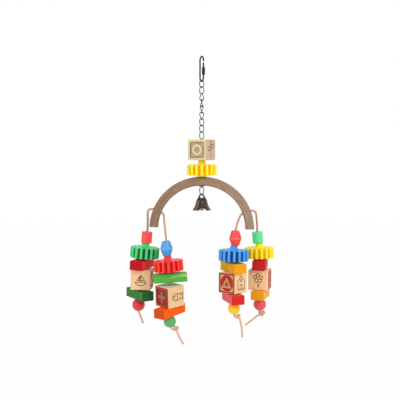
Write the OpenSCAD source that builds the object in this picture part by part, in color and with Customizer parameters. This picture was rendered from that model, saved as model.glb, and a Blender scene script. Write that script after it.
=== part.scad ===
// Hanging bird toy: a quick link and a chain carry an eye rod with a framed block, a toothed
// wheel and a bent wooden arch. A bell hangs under the arch, and two leather laces hold
// four strands of beads, toothed wheels, slats, blocks and balls.
// Millimetres, +Z up, the toy's front faces -Y. The origin is where a hook bears in the quick link.

/* [Quick link] */
// Wire diameter of the quick link
link_wire = 2.2; // [1.8:0.1:2.6]
// Clear height inside the quick link
link_inner_h = 32.7; // [30:0.1:40]
// Overall width of the quick link
link_w = 14; // [13:0.5:18]
// Top of the open gate's gap below the hook point
gate_top = 6.2; // [5.5:0.1:8]
// Height of the open gate's gap
gate_gap = 2; // [1:0.1:3]
// Length of thread that shows above the nut
thread_show = 6.2; // [4:0.1:7]
// Length of the sleeve nut
nut_len = 10.8; // [8:0.1:12]
// Width of the sleeve nut across its corners
nut_d = 4.4; // [4.1:0.1:5.5]
// Clearance round the wire in the sleeve nut
nut_clear = 0.12; // [0.08:0.01:0.3]

/* [Chain] */
// Wire diameter of the chain
chain_wire = 1.3; // [1:0.05:1.5]
// Outside length of one chain link
chain_len = 11.9; // [11:0.1:14]
// Outside width of one chain link
chain_w = 7.3; // [6.8:0.1:9]
// Twist of a link from its middle to each end
chain_twist = 45; // [30:5:50]
// Clearance between two hooked wires
hook_clear = 0.25; // [0.15:0.05:0.4]

/* [Centre rod] */
// Diameter of the rod
rod_d = 2.4; // [2:0.1:3]
// Outside length of the eye under the arch
low_eye_len = 13.1; // [12:0.1:15]
// Washer diameter
washer_d = 8.4; // [7.5:0.1:10]
// Washer thickness
washer_t = 1; // [0.6:0.1:1.5]
// Running clearance round the rod
rod_clear = 0.6; // [0.3:0.1:1]

/* [Blocks and slats] */
// Edge length of a block
block_a = 29.2; // [26:0.2:32]
// Rounding of a block's edges
block_round = 1.1; // [0.6:0.1:2]
// Width of the raised frame round a block's face
frame_w = 2.4; // [1.5:0.1:4]
// Depth of the recess inside the frame
recess = 0.8; // [0.4:0.1:1.5]
// Length of a slat
slat_len = 47.5; // [40:0.5:50]
// Width of a slat
slat_w = 19; // [16:0.5:21]
// Thickness of a slat
slat_t = 13.2; // [11:0.2:14]
// Rounding of a slat's edges
slat_round = 1; // [0.5:0.1:2]

/* [Toothed wheels] */
// Number of teeth
teeth = 16; // [12:1:18]
// Diameter over the teeth
gear_d = 42.4; // [38:0.2:43]
// Depth of a tooth
tooth_depth = 4.2; // [3:0.1:5]
// Width of a tooth
tooth_w = 4.4; // [3.6:0.1:4.8]
// Height of the toothed rim
tooth_h = 15.3; // [12:0.1:16]
// Chamfer on the ends of the teeth
tooth_chamfer = 0.7; // [0.3:0.1:1.2]
// Hub diameter
hub_d = 10.7; // [9:0.1:14]
// Hub height above the rim
hub_h = 5.8; // [4:0.1:8]
// Diameter of the low boss under the rim
boss_d = 14.6; // [12:0.1:20]
// Height of the low boss
boss_h = 2; // [1.5:0.1:4]

/* [Beads and balls] */
// Diameter of a round straight bead
bead_d = 15.3; // [13:0.1:18]
// Length of a round straight bead
bead_len = 16.4; // [14:0.2:20]
// Widest diameter of a bicone bead
bicone_d = 17.5; // [15:0.1:19]
// End diameter of a bicone bead
bicone_end_d = 11; // [9:0.1:13]
// Length of a bicone bead
bicone_len = 21.2; // [19:0.1:25]
// Ball diameter on the outer strands
ball_d = 18.5; // [16:0.1:20]
// Ball diameter on the inner strands
small_ball_d = 17.5; // [16:0.1:20]

/* [Arch] */
// Outer radius of the arch
arch_r = 75; // [70:0.5:85]
// Radial thickness of the arch
arch_t = 12.5; // [10:0.5:16]
// Depth of the arch from front to back
arch_depth = 12; // [10:0.5:18]
// Rounding of the arch's edges
arch_round = 3; // [1:0.5:5]
// How far the left end stops short of the half circle
arch_short = 2.8; // [0:0.2:10]
// Height of the left lace hole above the arch's centre, as an angle
left_hole_deg = 22.5; // [15:0.5:35]
// Height of the right lace hole above the arch's centre, as an angle
right_hole_deg = 20.5; // [15:0.5:35]

/* [Bell] */
// Diameter at the bell's lip
bell_lip_d = 27; // [24:0.1:30]
// Height from lip to crown
bell_h = 16.4; // [15:0.1:20]
// Wall of the bell
bell_wall = 1.2; // [0.9:0.1:1.5]
// Wire of the bell's loop
bell_loop_wire = 1.8; // [1.4:0.1:2.2]
// Radius of the loop's centre line
bell_loop_r = 3.2; // [3:0.1:4]
// Thickness of the lug that carries the loop
lug_t = 1.6; // [1.2:0.1:1.8]
// Rise of the arched cut in the lip
lip_rise = 2.2; // [1.5:0.1:4]
// Diameter of the clapper's ball
clapper_d = 8.2; // [6:0.1:9]
// Wire of the clapper and its staple
clapper_wire = 1.2; // [1:0.1:1.4]

/* [Laces] */
// Diameter of the leather lace
lace_d = 3; // [2.6:0.1:3.2]
// Bore of beads, wheels and blocks
bore_d = 6.4; // [6:0.1:7]
// Bore of the slats
slat_bore_d = 6.4; // [6:0.1:7]
// Bore of the lace holes in the arch
lace_hole_d = 5; // [4.2:0.1:6]
// Size of a knot's lobes
knot_d = 6; // [5:0.1:6.4]

/* [Fits] */
// Play between pieces that are stacked on a lace or on the rod
play = 0.3; // [0.2:0.05:0.5]
// Slack above the block on the left inner strand
slack = 4.2; // [3.9:0.1:6]

/* [Hidden] */
$fn = 48;
eps = 0.01;

// Colours
gunmetal = [0.24, 0.23, 0.22];
nickel = [0.42, 0.41, 0.39];
brass = [0.70, 0.55, 0.30];
bell_bronze = [0.35, 0.30, 0.25];
natural = [0.93, 0.78, 0.57];
pinkish_natural = [0.80, 0.70, 0.58];
arch_brown = [0.64, 0.54, 0.45];
leather = [0.84, 0.63, 0.52];

// Quick link, worked out from its wire and its clear height
link_b = (link_w - link_wire) / 2;
link_top_z = link_wire / 2;
link_low_z = -link_inner_h - link_wire / 2;
link_bend_top_z = link_top_z - link_b;
link_bend_low_z = link_low_z + link_b;
link_turn = -66;
nut_top_z = -gate_top - gate_gap - thread_show;

// Chain: half length and half width of a link's centre line
chain_h = (chain_len - chain_wire) / 2;
chain_b = (chain_w - chain_wire) / 2;
chain_first_z = link_low_z + (link_wire + chain_wire) / 2 + hook_clear - chain_h;
chain_pitch = 2 * chain_h - chain_wire - hook_clear;
chain_count = 8;
// Turn of each link about the vertical, as the chain winds slowly round
chain_turns = [0, 12, 42, 78, 110, 140, 160, 172];
top_eye_turn = 184;
low_eye_turn = -18;

// Stack on the rod, from the top eye down
top_eye_z = chain_first_z - chain_count * chain_pitch;
top_block_z = top_eye_z - chain_len / 2 - play - block_a / 2;
top_block_turn = 62.7;
gear_h = hub_h + tooth_h + boss_h;
top_gear_z = top_block_z - block_a / 2 - play;
arch_top_z = top_gear_z - gear_h - play;
arch_z = arch_top_z - arch_r;
washer_z = arch_top_z - arch_t - play;
low_eye_h = (low_eye_len - chain_wire) / 2;
low_eye_z = washer_z - washer_t - play - low_eye_len / 2;

// Bell, hooked in the lower eye
bell_hook_z = low_eye_z - low_eye_h + (chain_wire + bell_loop_wire) / 2 + hook_clear;
bell_loop_z = bell_hook_z - bell_loop_r;
bell_top_z = bell_loop_z - bell_loop_r;
bell_turn = 6;
staple_r = 1.9;
staple_z = bell_top_z - bell_wall - 1;
clapper_pivot_z = staple_z - staple_r;
clapper_eye_z = clapper_pivot_z + clapper_wire + 0.15 - staple_r;
clapper_ball_z = bell_top_z - bell_h + clapper_d / 2 - 0.8;

// Strands in order: left outer, left inner, right inner, right outer.
// Pieces down a strand: bead, toothed wheel, upper slat, block, lower slat, ball.
// Heights of the strands' tops are taken from the arch's centre.
strand_top = [-5.3, -14.7, -0.8, -6.2];
strand_y = [13, -19, -13, 19];
strand_x = [
    [-79.8, -82.6, -86.9, -87, -90.5, -92.4],
    [-49.6, -47.4, -44.9, -45.2, -45.3, -45.4],
    [47.6, 45.3, 44.9, 44.3, 44.7, 46],
    [81.8, 84.2, 85.7, 85.5, 86.3, 85.5]
];
is_bicone = [false, true, true, false];

// How each piece leans on its lace, towards the viewer and clockwise, and how it is turned
lean_front = [
    [0, 0, 0, -1.5, 1, 0],
    [0, -1.5, -6, 3, 4, 0],
    [0, -1, -2.2, -2.4, -1.2, 0],
    [0, -1, -3, -0.8, -2.2, 0]
];
lean_side = [
    [4.3, 5, 3, 1.5, 0.8, 0],
    [-3.7, -4, -3.7, -1.6, -1.8, -12],
    [0, 1, -0.4, 0.6, -0.8, 0],
    [-5, -1, 1, 0.4, 1.4, 0]
];
turns = [
    [0, 11, 72, -4, 125, 0],
    [0, 4, 6, 42, 52, 0],
    [0, 0, 113, 50, 105, 0],
    [0, 6, 80, -15, 74, 0]
];
// Extra room under each piece, where its neighbour leans another way
room = [
    [0, 0.15, 0.6, 0.85, 0],
    [0.05, 0.5, slack - play, 0.3, 0],
    [0.1, 0.3, 0.3, 0.6, 0],
    [0.2, 0.4, 0.5, 0.4, 0]
];

// Points of the laces, chosen by hand. Legs and holes are taken from the arch's centre, and
// tails from the centre of the strand's ball.
left_outer_tail = [[1, -0.6, -12.5], [2.6, -1.2, -16.4], [4.6, -2, -21.4], [6.8, -3, -26.8]];
left_outer_leg = [
    [-78.6, 12.3, 0.6], [-78.2, 10.4, 6.6], [-77.9, 7.8, 12.6], [-77.7, 5, 18],
    [-77.5, 2.6, 23.4], [-77, 0.9, 26], [-75.8, 0.2, 27.8], [-74, 0, 28.8], [-71.8, 0, 29.2]
];
left_hole = [[-69.6, 0, 28.8], [-66, 0, 27.3], [-62, 0, 25.7], [-57.6, 0, 23.9]];
left_inner_leg = [
    [-55.7, -0.1, 22.6], [-54.5, -0.6, 20.7], [-54, -1.8, 18], [-53.6, -4, 13.6],
    [-53, -6.8, 8.2], [-52.2, -9.8, 2.6], [-51.5, -12.8, -2.8], [-50.8, -15.6, -8],
    [-50.3, -17.8, -12.2]
];
left_inner_tail = [
    [2.8, 0, -10.9], [5.2, 0, -11.9], [7.6, 0, -11.4], [9.4, 0, -12.8], [10.7, 0, -15.8],
    [12.3, -0.2, -19.8], [14.2, -0.4, -24], [16.6, -0.7, -28.4], [19.3, -1, -32.6]
];
right_inner_tail = [
    [0.7, 0, -10.6], [2.7, 0, -11.8], [5, 0, -11.6], [7, 0, -12.6], [8.3, 0, -15.6],
    [9.4, -0.1, -19.4], [10.4, -0.2, -24], [11.2, -0.3, -29], [11.7, -0.4, -35], [11.9, -0.4, -41.4]
];
right_inner_leg = [
    [48.6, -11.8, 2.4], [49.8, -9.4, 6.4], [51.3, -6.5, 10.4], [52.9, -3.6, 14.4],
    [54.4, -1.3, 17.8], [56.2, -0.2, 20.4]
];
right_hole = [[58.4, 0, 21.8], [62, 0, 23.2], [66.4, 0, 24.8], [70.4, 0, 26.3]];
right_outer_leg = [
    [72.6, 0, 26.7], [74.9, 0.1, 26.2], [76.7, 0.8, 24.9], [77.9, 2.4, 22.6], [78.6, 4.8, 19.2],
    [79.2, 7.8, 14.6], [79.9, 11, 9.6], [80.5, 14.2, 4.4], [81, 17, -0.8]
];
right_outer_tail = [
    [0.9, 0, -11.2], [1.8, 0, -13], [0.6, 0, -14.8], [-2, 0, -16.4], [-5.6, 0, -19],
    [-10.4, -0.2, -22.7], [-15.8, -0.5, -26.8], [-21.2, -0.8, -30.8]
];
// Places of a knot's two lobes, from the centre of the strand's ball
knot_lobes = [
    [], [[6.6, 0, -10.2], [9.6, 0, -9.2]], [[3.3, 0, -11.7], [6.3, 0, -10.7]],
    [[1.1, 0, -12.5], [4.2, 0, -12.2]]
];
lace_sides = 8;

function unit(v) = v / norm(v);

// Heights of the pieces of a strand, and the places of their centres
function ball_of(s) = is_bicone[s] ? small_ball_d : ball_d;
function heights(s) = [
    is_bicone[s] ? bicone_len : bead_len, gear_h, slat_t, block_a, slat_t, ball_of(s)
];
function fall(s, k) = k == 0 ? 0 : fall(s, k - 1) + heights(s)[k - 1] + play + room[s][k - 1];
function centre_of(s, k) =
    [strand_x[s][k], strand_y[s], arch_z + strand_top[s] - fall(s, k) - heights(s)[k] / 2];

// Unit vector up a piece's own axis
function axis_of(s, k) = let (a = lean_front[s][k], b = lean_side[s][k])
    [cos(a) * sin(b), -sin(a), cos(a) * cos(b)];
function above(s, k, share) = centre_of(s, k) + axis_of(s, k) * heights(s)[k] * share;

// The lace's points inside a strand: into the bead, through each piece, out of the ball
function inside(s) = concat(
    [above(s, 0, 0.5)],
    [for (k = [0 : 5]) each k == 5 ? [centre_of(s, k)]
        : [centre_of(s, k), (above(s, k, -0.5) + above(s, k + 1, 0.5)) / 2]],
    [above(s, 5, -0.5)]
);
function backwards(list) = [for (i = [len(list) - 1 : -1 : 0]) list[i]];

function at_arch(list) = [for (p = list) p + [0, 0, arch_z]];
function at_ball(s, list) = [for (p = list) p + centre_of(s, 5)];

left_route = concat(
    backwards(at_ball(0, left_outer_tail)), backwards(inside(0)), at_arch(left_outer_leg),
    at_arch(left_hole), at_arch(left_inner_leg), inside(1), at_ball(1, left_inner_tail)
);
right_route = concat(
    backwards(at_ball(2, right_inner_tail)), backwards(inside(2)), at_arch(right_inner_leg),
    at_arch(right_hole), at_arch(right_outer_leg), inside(3), at_ball(3, right_outer_tail)
);

// Ring of points round a place on a wire
function ring(p, along, side, r, n) =
    let (e1 = unit(side - along * (side * along)), e2 = cross(along, e1))
    [for (k = [0 : n - 1]) p + r * (cos(360 * k / n) * e1 + sin(360 * k / n) * e2)];

// Faces between rings of n points, each ring joined to the next one
function band(i, j, n) = [
    for (k = [0 : n - 1]) each [
        [i * n + k, i * n + (k + 1) % n, j * n + (k + 1) % n],
        [i * n + k, j * n + (k + 1) % n, j * n + k]
    ]
];

// Tube along an open route
module tube(route, r, n) {
    last = len(route) - 1;
    rings = [
        for (i = [0 : last])
            let (
                before = route[max(i - 1, 0)],
                after = route[min(i + 1, last)],
                along = unit(unit(after - route[i] + (i == last ? after - before : [0, 0, 0]))
                    + unit(route[i] - before + (i == 0 ? after - before : [0, 0, 0])))
            )
            each ring(route[i], along, [0, 1, 0], r, n)
    ];
    faces = concat(
        [[for (k = [n - 1 : -1 : 0]) k]],
        [for (i = [0 : last - 1]) each band(i, i + 1, n)],
        [[for (k = [0 : n - 1]) last * n + k]]
    );
    polyhedron(points = rings, faces = [for (f = faces) backwards(f)], convexity = 4);
}

// Centre line of an oval wire loop of half length h and half width b, standing on Z.
// It starts at the right of the top bend and runs up, over and down.
function oval(h, b, steps) = concat(
    [for (i = [0 : steps]) [b * cos(180 * i / steps), h - b + b * sin(180 * i / steps)]],
    [[-b, 0]],
    [for (i = [0 : steps]) [-b * cos(180 * i / steps), -h + b - b * sin(180 * i / steps)]],
    [[b, 0]]
);

// Oval wire loop whose ends are twisted about Z, as curb chain is
module twisted_loop(h, b, r, twist, steps = 8, n = 8) {
    flat = oval(h, b, steps);
    count = len(flat);
    line = [for (p = flat) let (a = twist * p[1] / h) [p[0] * cos(a), p[0] * sin(a), p[1]]];
    rings = [
        for (i = [0 : count - 1])
            let (
                a = twist * flat[i][1] / h,
                along = unit(line[(i + 1) % count] - line[(i + count - 1) % count])
            )
            each ring(line[i], along, [-sin(a), cos(a), 0], r, n)
    ];
    faces = [for (i = [0 : count - 1]) each band(i, (i + 1) % count, n)];
    polyhedron(points = rings, faces = [for (f = faces) backwards(f)], convexity = 6);
}

// Flat shape with true round corners, centred
module rounded_rect(w, h, r) {
    square([w - 2 * r, h], center = true);
    square([w, h - 2 * r], center = true);
    for (x = [-1, 1], y = [-1, 1])
        translate([x * (w / 2 - r), y * (h / 2 - r)]) circle(r = r);
}

// Half of a wire ring in the XZ plane, bulging up
module half_ring(r, wire_r) {
    rotate([90, 0, 0]) rotate_extrude(angle = 180) translate([r, 0]) circle(r = wire_r);
}

// Puts a piece on its strand, leaning and turned as it hangs
module placed(s, k) {
    translate(centre_of(s, k)) rotate([lean_front[s][k], lean_side[s][k], 0])
        rotate([0, 0, turns[s][k]]) children();
}

// Quick link: bent wire with an open gate on its front side
module quick_link() {
    r = link_wire / 2;
    color(gunmetal) rotate([0, 0, link_turn]) {
        translate([0, 0, link_bend_top_z]) half_ring(link_b, r);
        translate([0, 0, link_bend_low_z]) mirror([0, 0, 1]) half_ring(link_b, r);
        translate([-link_b, 0, link_bend_low_z]) cylinder(r = r, h = link_bend_top_z - link_bend_low_z);
        translate([link_b, 0, -gate_top]) cylinder(r = r, h = gate_top + link_bend_top_z);
        translate([link_b, 0, link_bend_low_z])
            cylinder(r = r, h = -gate_top - gate_gap - link_bend_low_z);
    }
}

// Sleeve nut: six flats, tapered ends, turned down the thread
module quick_link_nut() {
    taper = nut_d / 2 - link_wire / 2 - nut_clear;
    color(gunmetal) rotate([0, 0, link_turn]) translate([link_b, 0, nut_top_z - nut_len])
        difference() {
            intersection() {
                cylinder(d = nut_d, h = nut_len, $fn = 6);
                rotate_extrude() polygon([
                    [0, 0], [nut_d / 2 - taper / 2, 0], [nut_d / 2, taper],
                    [nut_d / 2, nut_len - taper], [nut_d / 2 - taper / 2, nut_len], [0, nut_len]
                ]);
            }
            translate([0, 0, -1]) cylinder(d = link_wire + 2 * nut_clear, h = nut_len + 2);
        }
}

// One link of the curb chain
module chain_link(i) {
    color(nickel) translate([0, 0, chain_first_z - i * chain_pitch]) rotate([0, 0, chain_turns[i]])
        twisted_loop(chain_h, chain_b, chain_wire / 2, chain_twist);
}

// Rod with an eye at each end. The block, the wheel and the arch turn on it.
module centre_rod() {
    low = low_eye_z + low_eye_h;
    color(nickel) {
        translate([0, 0, top_eye_z]) rotate([0, 0, top_eye_turn])
            twisted_loop(chain_h, chain_b, chain_wire / 2, chain_twist);
        translate([0, 0, low]) cylinder(d = rod_d, h = top_eye_z - chain_h - low);
        translate([0, 0, low_eye_z]) rotate([0, 0, low_eye_turn])
            twisted_loop(low_eye_h, chain_b, chain_wire / 2, chain_twist);
    }
}

module rod_washer() {
    color(nickel) translate([0, 0, washer_z - washer_t]) difference() {
        cylinder(d = washer_d, h = washer_t);
        translate([0, 0, -1]) cylinder(d = rod_d + rod_clear, h = washer_t + 2);
    }
}

// Raised figures that stand in the recess of a framed face
module figure(kind) {
    if (kind == 0) difference() {
        circle(d = 16);
        circle(d = 8.5);
    }
    if (kind == 1) difference() {
        rotate(45) square(13, center = true);
        rotate(45) square(5.5, center = true);
    }
    if (kind == 2) {
        square([16, 4.6], center = true);
        square([4.6, 16], center = true);
    }
    if (kind == 3) difference() {
        polygon([[-9, -7], [9, -7], [0, 8.6]]);
        polygon([[-3.6, -3.8], [3.6, -3.8], [0, 2.4]]);
    }
}

// Wooden cube: framed faces on its local X sides, plain faces on the others
module framed_block(kind, bore) {
    inner = block_a - 2 * block_round - 2 * frame_w;
    difference() {
        intersection() {
            linear_extrude(block_a, center = true) rounded_rect(block_a, block_a, block_round);
            rotate([90, 0, 0]) linear_extrude(block_a, center = true)
                rounded_rect(block_a, block_a, block_round);
            rotate([0, 90, 0]) linear_extrude(block_a, center = true)
                rounded_rect(block_a, block_a, block_round);
        }
        cylinder(d = bore, h = block_a + 2, center = true);
        for (side = [0, 180])
            rotate([90, 0, 90 + side]) translate([0, 0, block_a / 2 - recess])
                linear_extrude(recess + 1) difference() {
                    rounded_rect(inner, inner, 2);
                    figure(kind);
                }
    }
}

module top_block() {
    color(pinkish_natural) translate([0, 0, top_block_z]) rotate([0, 0, top_block_turn])
        framed_block(0, rod_d + 2 * rod_clear);
}

// Toothed wheel, hub upwards, measured down from the top of its hub
module toothed_wheel(bore) {
    tip = tooth_w / 2;
    difference() {
        union() {
            translate([0, 0, -hub_h]) cylinder(d = hub_d, h = hub_h);
            translate([0, 0, -hub_h - tooth_h]) intersection() {
                linear_extrude(tooth_h) {
                    circle(d = gear_d - 2 * tooth_depth);
                    for (k = [0 : teeth - 1]) rotate(360 * k / teeth) {
                        translate([0, -tip]) square([gear_d / 2 - tip, tooth_w]);
                        translate([gear_d / 2 - tip, 0]) circle(r = tip);
                    }
                }
                rotate_extrude() polygon([
                    [0, 0], [gear_d / 2 - tooth_chamfer, 0], [gear_d / 2, tooth_chamfer],
                    [gear_d / 2, tooth_h - tooth_chamfer], [gear_d / 2 - tooth_chamfer, tooth_h],
                    [0, tooth_h]
                ]);
            }
            translate([0, 0, -gear_h]) cylinder(d = boss_d, h = boss_h + eps);
        }
        translate([0, 0, -gear_h - 1]) cylinder(d = bore, h = gear_h + 2);
    }
}

module top_gear() {
    color([1, 0.92, 0.16]) translate([0, 0, top_gear_z]) toothed_wheel(rod_d + 2 * rod_clear);
}

// Bent half ring of wood with a hole for the rod and one near each end for a lace
module arch() {
    mid = arch_r - arch_t / 2;
    color(arch_brown) translate([0, 0, arch_z]) difference() {
        rotate([90, 0, 0]) rotate_extrude(angle = 180 - arch_short, $fn = 96) translate([mid, 0])
            rounded_rect(arch_t, arch_depth, arch_round);
        translate([0, 0, mid - arch_t]) cylinder(d = rod_d + 2 * rod_clear, h = 2 * arch_t);
        rotate([0, -90 + left_hole_deg, 0]) translate([0, 0, mid - arch_t])
            cylinder(d = lace_hole_d, h = 2 * arch_t);
        rotate([0, 90 - right_hole_deg, 0]) translate([0, 0, mid - arch_t])
            cylinder(d = lace_hole_d, h = 2 * arch_t);
    }
}

// Half profile of the bell, as shares of its height and of its lip's radius
bell_profile = [
    [0, 0.4], [0.02, 0.46], [0.05, 0.51], [0.12, 0.555], [0.24, 0.605], [0.37, 0.65], [0.5, 0.697],
    [0.6, 0.735], [0.69, 0.778], [0.79, 0.84], [0.885, 0.907], [0.95, 0.96], [1, 1]
];

// Solid of revolution under the crown, drawn in by an inset
module bell_body(inset) {
    out = inset > 0 ? 1 : 0;
    rotate_extrude() polygon(concat(
        [[0, -inset]],
        [for (p = bell_profile) [p[1] * bell_lip_d / 2 - inset, -inset - p[0] * (bell_h - inset)]],
        [[bell_lip_d / 2 - inset, -bell_h - out], [0, -bell_h - out]]
    ));
}

// Plate that widens from the loop down to the crown, with the loop's hole through it
module bell_lug() {
    foot = bell_lip_d * 0.2;
    sink = bell_wall / 2;
    reach = bell_loop_r + bell_loop_wire / 2;
    up = bell_loop_r + sink;
    a = acos(reach / sqrt(foot * foot + up * up)) - atan2(up, foot);
    rotate([90, 0, 0]) linear_extrude(lug_t, center = true) difference() {
        polygon([
            [-foot, -sink], [foot, -sink],
            [reach * cos(a), bell_loop_r + reach * sin(a)], [-reach * cos(a), bell_loop_r + reach * sin(a)]
        ]);
        translate([0, bell_loop_r]) circle(r = bell_loop_r);
    }
}

// Cast bell with a loop and a lug on its crown, a staple inside and an arched lip
module bell() {
    cut_r = (pow(bell_lip_d * 0.36, 2) + pow(lip_rise, 2)) / (2 * lip_rise);
    color(bell_bronze) translate([0, 0, bell_top_z]) rotate([0, 0, bell_turn]) {
        difference() {
            bell_body(0);
            bell_body(bell_wall);
            translate([0, 0, -bell_h - cut_r + lip_rise]) rotate([90, 0, 0])
                cylinder(r = cut_r, h = 2 * bell_lip_d, center = true, $fn = 96);
        }
        difference() {
            translate([0, 0, bell_loop_r]) rotate([90, 0, 0]) rotate_extrude()
                translate([bell_loop_r, 0]) circle(d = bell_loop_wire);
            translate([0, 0, -bell_wall - 2]) cylinder(r = bell_lip_d, h = 2 + bell_wall / 2);
        }
        bell_lug();
        translate([0, 0, staple_z - bell_top_z]) {
            mirror([0, 0, 1]) half_ring(staple_r, clapper_wire / 2);
            for (x = [-staple_r, staple_r]) translate([x, 0, 0])
                cylinder(d = clapper_wire, h = 1 + bell_wall / 2);
        }
    }
}

// Clapper: a wire eye, a stem and a ball
module clapper() {
    color(brass) translate([0, 0, clapper_eye_z]) rotate([0, 0, bell_turn]) {
        rotate([0, 90, 0]) rotate_extrude() translate([staple_r, 0]) circle(d = clapper_wire);
        translate([0, 0, clapper_ball_z - clapper_eye_z])
            cylinder(d = clapper_wire, h = clapper_eye_z - clapper_ball_z - staple_r);
        translate([0, 0, clapper_ball_z - clapper_eye_z]) sphere(d = clapper_d);
    }
}

// Colours down the strands
bead_colors = [[1, 0.33, 0.33], [0.27, 0.59, 0.86], [1, 0.29, 0.27], [0.37, 0.90, 0.59]];
gear_colors = [[0.37, 0.92, 0.57], [1, 0.29, 0.25], [0.35, 0.69, 1], [1, 0.92, 0.16]];
upper_slat_colors = [[0.75, 0.10, 0.14], [0.27, 0.69, 0.24], [0.90, 0.63, 0.08], [0.80, 0.12, 0.14]];
lower_slat_colors = [[0.18, 0.49, 0.25], [1, 0.41, 0.08], [0.88, 0.30, 0.34], [0.92, 0.65, 0.10]];
ball_colors = [[0.88, 0.22, 0.25], [0.37, 0.69, 0.45], [1, 0.82, 0.16], [0.92, 0.33, 0.37]];

// Straight or bicone bead
module strand_bead(s) {
    color(bead_colors[s]) placed(s, 0) difference() {
        if (is_bicone[s]) bicone();
        else rotate_extrude() intersection() {
            rounded_rect(bead_d, bead_len, 0.9);
            translate([0, -bead_len]) square([bead_d, 2 * bead_len]);
        }
        cylinder(d = bore_d, h = bicone_len + bead_len, center = true);
    }
}

// Two cones joined by a round belt that both of them touch
module bicone() {
    belt = 6;
    out = bicone_d / 2 - belt;
    rise = bicone_len / 2;
    run = bicone_end_d / 2 - out;
    a = atan2(rise, run) - acos(belt / sqrt(run * run + rise * rise));
    rotate_extrude() intersection() {
        union() {
            polygon([
                [0, -rise], [bicone_end_d / 2, -rise],
                [out + belt * cos(a), -belt * sin(a)], [out + belt * cos(a), belt * sin(a)],
                [bicone_end_d / 2, rise], [0, rise]
            ]);
            translate([out, 0]) circle(r = belt);
        }
        translate([0, -rise]) square([bicone_d, 2 * rise]);
    }
}

module strand_gear(s) {
    color(gear_colors[s]) placed(s, 1) translate([0, 0, gear_h / 2]) toothed_wheel(bore_d);
}

// Rectangular wooden slat, drilled through its thickness
module slat() {
    difference() {
        intersection() {
            linear_extrude(slat_t, center = true) rounded_rect(slat_len, slat_w, slat_round);
            rotate([90, 0, 0]) linear_extrude(slat_w, center = true)
                rounded_rect(slat_len, slat_t, slat_round);
            rotate([90, 0, 90]) linear_extrude(slat_len, center = true)
                rounded_rect(slat_w, slat_t, slat_round);
        }
        cylinder(d = slat_bore_d, h = slat_t + 2, center = true);
    }
}

module strand_upper_slat(s) {
    color(upper_slat_colors[s]) placed(s, 2) slat();
}

module strand_block(s) {
    color(natural) placed(s, 3) framed_block((s + 1) % 4, bore_d);
}

module strand_lower_slat(s) {
    color(lower_slat_colors[s]) placed(s, 4) slat();
}

// Ball. The left outer one is counterbored, so that its knot hides inside.
module strand_ball(s) {
    color(ball_colors[s]) placed(s, 5) difference() {
        sphere(d = ball_of(s));
        cylinder(d = bore_d, h = 2 * ball_of(s), center = true);
        if (s == 0) translate([0, 0, -ball_of(s)]) cylinder(d = knot_d + 1, h = ball_of(s) / 2 + knot_d + play);
    }
}

// Overhand knots, each a few round lobes of lace
module left_outer_knot() {
    seat = -ball_of(0) / 2 + knot_d;
    color(leather) translate(centre_of(0, 5)) translate([0, 0, seat - knot_d * 0.75])
        cylinder(d = knot_d, h = knot_d * 0.75);
}

module tied_knot(s) {
    color(leather) for (p = at_ball(s, knot_lobes[s])) translate(p) sphere(d = knot_d, $fn = 12);
}

module left_inner_knot() {
    tied_knot(1);
}

module right_inner_knot() {
    tied_knot(2);
}

module right_outer_knot() {
    tied_knot(3);
}

module left_lace() {
    color(leather) tube(left_route, lace_d / 2, lace_sides);
}

module right_lace() {
    color(leather) tube(right_route, lace_d / 2, lace_sides);
}

quick_link();
quick_link_nut();
for (i = [0 : chain_count - 1])
    chain_link(i);
centre_rod();
rod_washer();
top_block();
top_gear();
arch();
bell();
clapper();
strand_names = ["left_outer", "left_inner", "right_inner", "right_outer"];
for (s = [0 : 3]) {
    strand_bead(s);
    strand_gear(s);
    strand_upper_slat(s);
    strand_block(s);
    strand_lower_slat(s);
    strand_ball(s);
}
left_lace();
right_lace();
left_outer_knot();
left_inner_knot();
right_inner_knot();
right_outer_knot();
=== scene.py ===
"""Hanging bird toy: steel link and chain, block, toothed wheel, wooden arch with a bell, and four
laced strands of beads, wheels, slats, blocks and balls. Metres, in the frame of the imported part."""
import math
import random

import bmesh
import bpy
from mathutils import Matrix, Vector


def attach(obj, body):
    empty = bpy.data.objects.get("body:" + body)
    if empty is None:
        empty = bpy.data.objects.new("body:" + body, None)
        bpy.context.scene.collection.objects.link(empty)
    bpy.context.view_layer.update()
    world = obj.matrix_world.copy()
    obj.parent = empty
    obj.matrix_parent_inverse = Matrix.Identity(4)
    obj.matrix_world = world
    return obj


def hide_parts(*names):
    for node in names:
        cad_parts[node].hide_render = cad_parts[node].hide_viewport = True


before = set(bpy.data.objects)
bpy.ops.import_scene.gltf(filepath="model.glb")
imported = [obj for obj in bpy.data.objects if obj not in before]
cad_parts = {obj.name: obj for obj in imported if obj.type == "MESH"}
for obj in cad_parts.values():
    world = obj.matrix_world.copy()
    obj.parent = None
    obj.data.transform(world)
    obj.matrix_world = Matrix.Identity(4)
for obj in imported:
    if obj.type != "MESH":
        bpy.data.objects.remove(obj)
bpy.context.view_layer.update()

# --- Camera ---
# The toy hangs a metre from the lens. Eye height is level with the block on the rod, and the
# camera looks slightly down to take in the strands.
MM = 0.001
PICTURE_PX = 400
FOCAL_PX = 701
SENSOR = 36.0
CAMERA_AT = (-2.44 * MM, -1.0, -130.5 * MM)
LOOKS_DOWN = math.radians(4.08)

scene = bpy.context.scene


def linked(name, data):
    """A new object in the scene."""
    thing = bpy.data.objects.new(name, data)
    scene.collection.objects.link(thing)
    return thing


camera_data = bpy.data.cameras.new("photo_view")
camera_data.sensor_width = SENSOR
camera_data.lens = SENSOR * FOCAL_PX / PICTURE_PX
camera_data.clip_start = 0.01
camera = linked("photo_view", camera_data)
camera.location = CAMERA_AT
camera.rotation_euler = (math.pi / 2 - LOOKS_DOWN, 0, 0)
scene.camera = camera

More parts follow.
